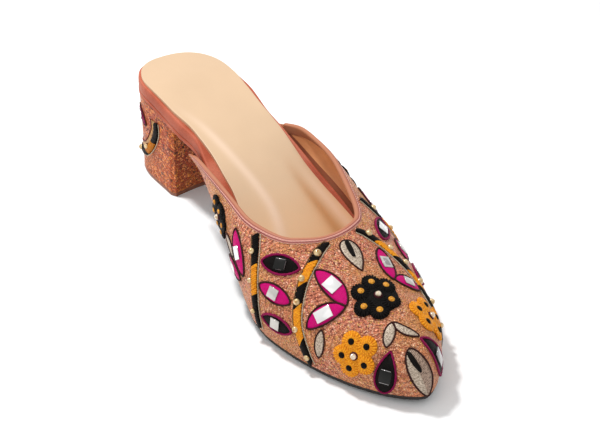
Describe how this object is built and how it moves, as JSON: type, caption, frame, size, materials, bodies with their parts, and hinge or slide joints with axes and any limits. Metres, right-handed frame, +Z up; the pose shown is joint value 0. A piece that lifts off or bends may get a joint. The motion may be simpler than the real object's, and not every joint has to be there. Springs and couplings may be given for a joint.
{
  "type": "block-heeled mule shoe",
  "caption": "backless women's mule for the left foot, with a pointed closed toe, a padded insole on a leather-wrapped board and a fabric-covered block heel",
  "frame": {"origin": "centre of the bounding box seen from above, at floor level", "axes": "X from heel to toe, Y to the outer side of the left foot, Z up"},
  "size_m": [0.251, 0.085, 0.0565],
  "materials": {
    "upper": "rose-gold metallic-thread fabric with raised embroidery, lined in tan",
    "topline_binding": "folded rose-gold metallic leather",
    "insole_sock": "smooth cream leather over thin padding",
    "insole_board": "rose-gold metallic leather wrapped round the board",
    "outsole": "dark brown, matt",
    "heel_block": "copper metallic-thread fabric over a moulded heel",
    "heel_tip": "copper-brown, satin"
  },
  "bodies": {
    "root": {"upper": "upper", "topline_binding": "topline_binding", "insole_sock": "insole_sock", "insole_board": "insole_board", "outsole": "outsole", "heel_block": "heel_block", "heel_tip": "heel_tip"}
  },
  "joints": []
}
